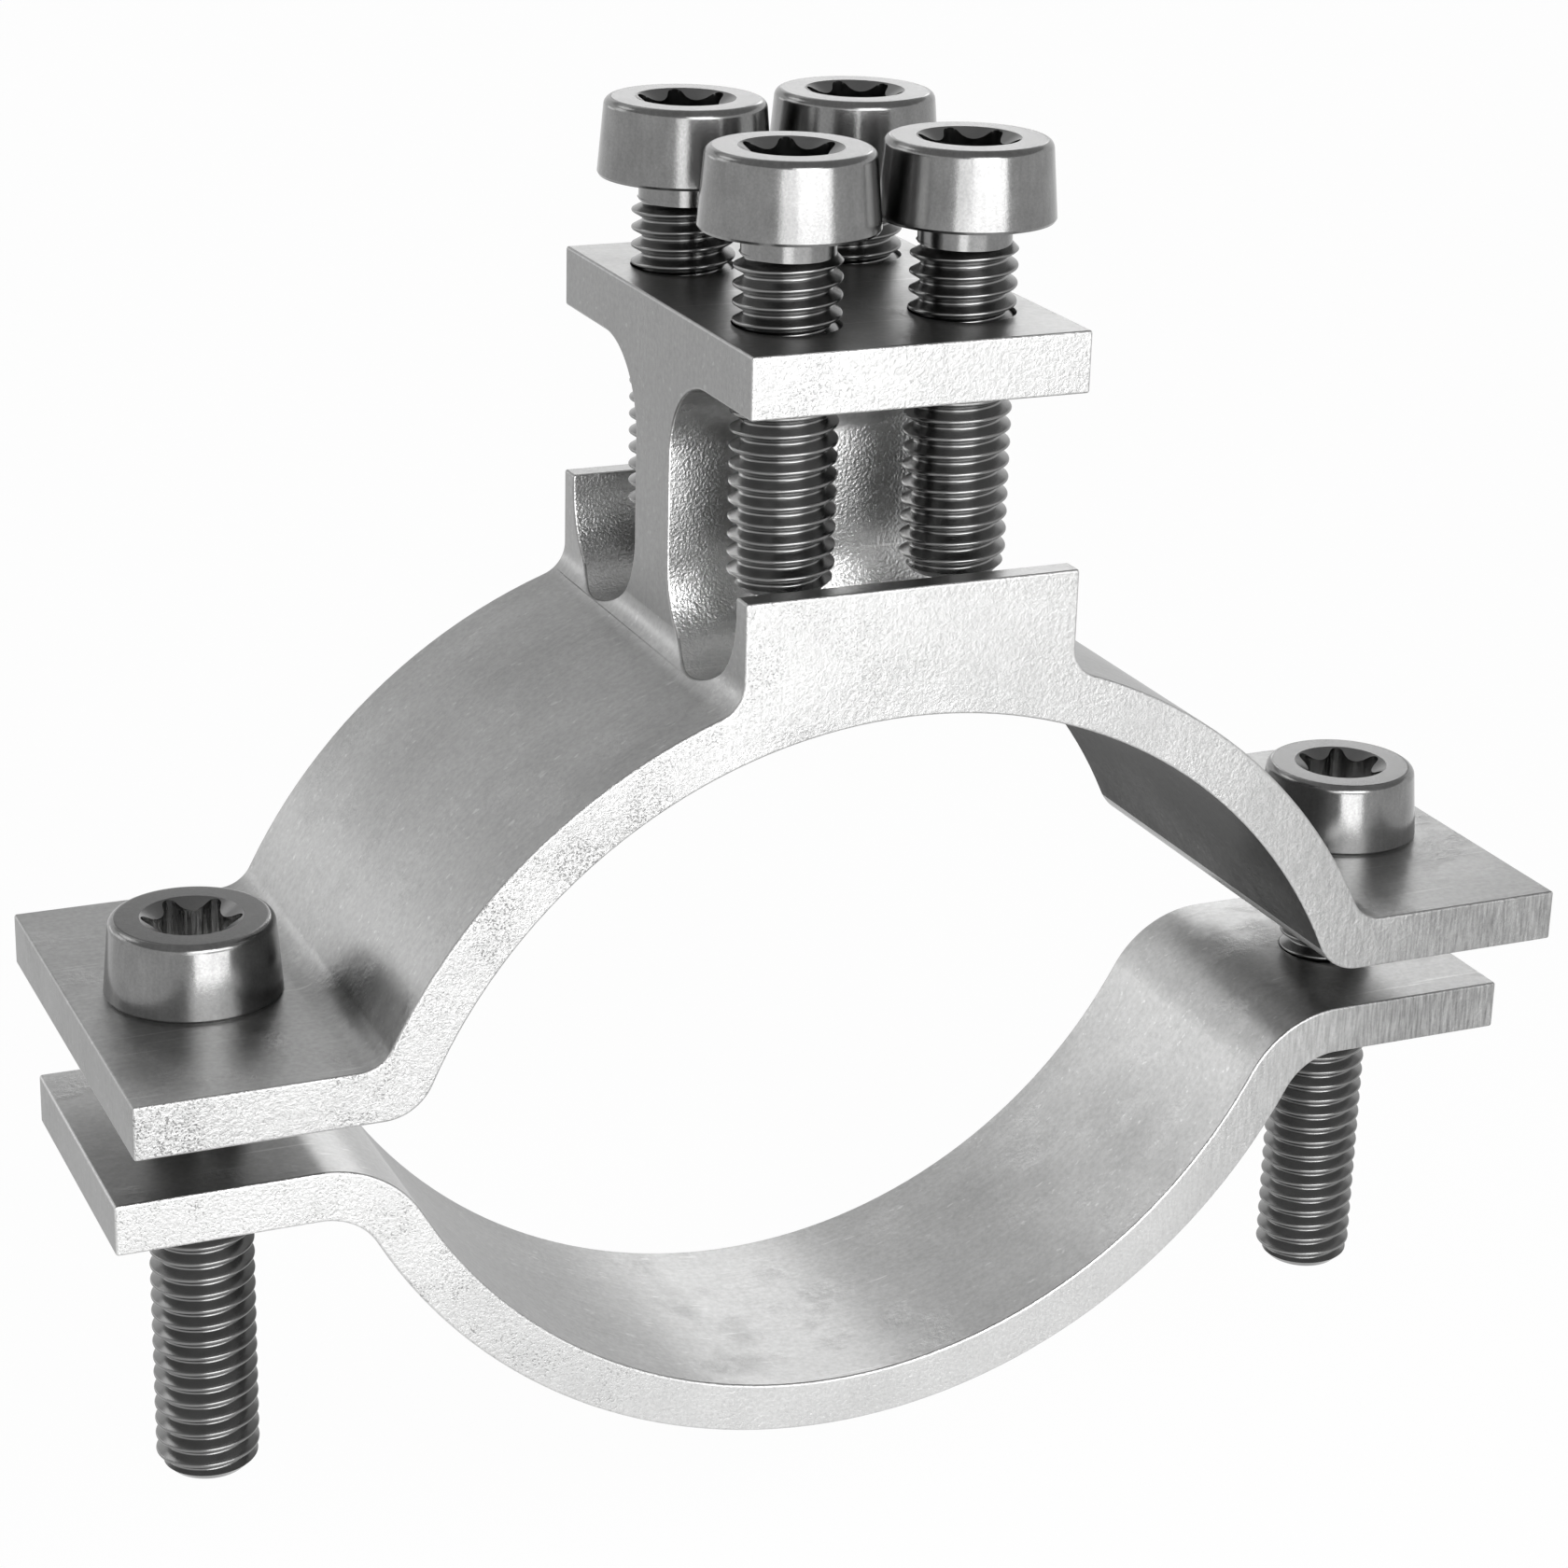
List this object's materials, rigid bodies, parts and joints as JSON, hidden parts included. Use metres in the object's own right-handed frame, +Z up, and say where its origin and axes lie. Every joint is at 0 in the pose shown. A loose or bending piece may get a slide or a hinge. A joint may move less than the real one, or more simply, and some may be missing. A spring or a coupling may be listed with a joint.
{
  "type": "earthing pipe clamp",
  "caption": "Clamp that grips a metal pipe between a saddle and a bent strap, with open channels on top in which screws hold earth conductors.",
  "frame": {"origin": "on the centre line of the clamped pipe, midway between the ears of the saddle and of the strap, and in the middle of the clamp's width", "axes": "+Y along the pipe, +X towards the right ear as seen from the front, +Z up from the strap to the conductor block"},
  "size_m": [0.088, 0.028, 0.0773],
  "materials": {
    "clamp_metal": "satin nickel-like or tin-like plated metal, or plain stainless steel, lightly pitted",
    "screw_steel": "turned satin stainless or plated steel, darker than the clamp"
  },
  "bodies": {
    "saddle": {"saddle": "clamp_metal"},
    "strap": {"strap": "clamp_metal"},
    "clamp_screw_left": {"clamp_screw_left": "screw_steel"},
    "clamp_screw_right": {"clamp_screw_right": "screw_steel"},
    "conductor_screw_front_left": {"conductor_screw_front_left": "screw_steel"},
    "conductor_screw_front_right": {"conductor_screw_front_right": "screw_steel"},
    "conductor_screw_rear_left": {"conductor_screw_rear_left": "screw_steel"},
    "conductor_screw_rear_right": {"conductor_screw_rear_right": "screw_steel"}
  },
  "joints": [
    {"name": "strap_slide", "type": "slide", "parent": "saddle", "child": "strap", "axis": [0, 0, 1], "range_m": [-0.0171, 0.0048]},
    {"name": "clamp_screw_left_turn", "type": "hinge", "parent": "saddle", "child": "clamp_screw_left", "pos_m": [-0.037, 0, 0.0056], "axis": [0, 0, 1], "range_deg": [-1728, 6156]},
    {"name": "clamp_screw_right_turn", "type": "hinge", "parent": "saddle", "child": "clamp_screw_right", "pos_m": [0.037, 0, 0.0056], "axis": [0, 0, 1], "range_deg": [-1728, 6156]},
    {"name": "conductor_screw_front_left_slide", "type": "slide", "parent": "saddle", "child": "conductor_screw_front_left", "axis": [0, 0, 1], "range_m": [-0.0039, 0.0108]},
    {"name": "conductor_screw_front_right_slide", "type": "slide", "parent": "saddle", "child": "conductor_screw_front_right", "axis": [0, 0, 1], "range_m": [-0.0039, 0.0108]},
    {"name": "conductor_screw_rear_left_slide", "type": "slide", "parent": "saddle", "child": "conductor_screw_rear_left", "axis": [0, 0, 1], "range_m": [-0.0039, 0.0108]},
    {"name": "conductor_screw_rear_right_slide", "type": "slide", "parent": "saddle", "child": "conductor_screw_rear_right", "axis": [0, 0, 1], "range_m": [-0.0039, 0.0108]}
  ],
  "couplings": [
    {"joint": "clamp_screw_left_turn", "follows": "strap_slide", "rad_per_m": -6283.2},
    {"joint": "clamp_screw_right_turn", "follows": "strap_slide", "rad_per_m": -6283.2}
  ]
}
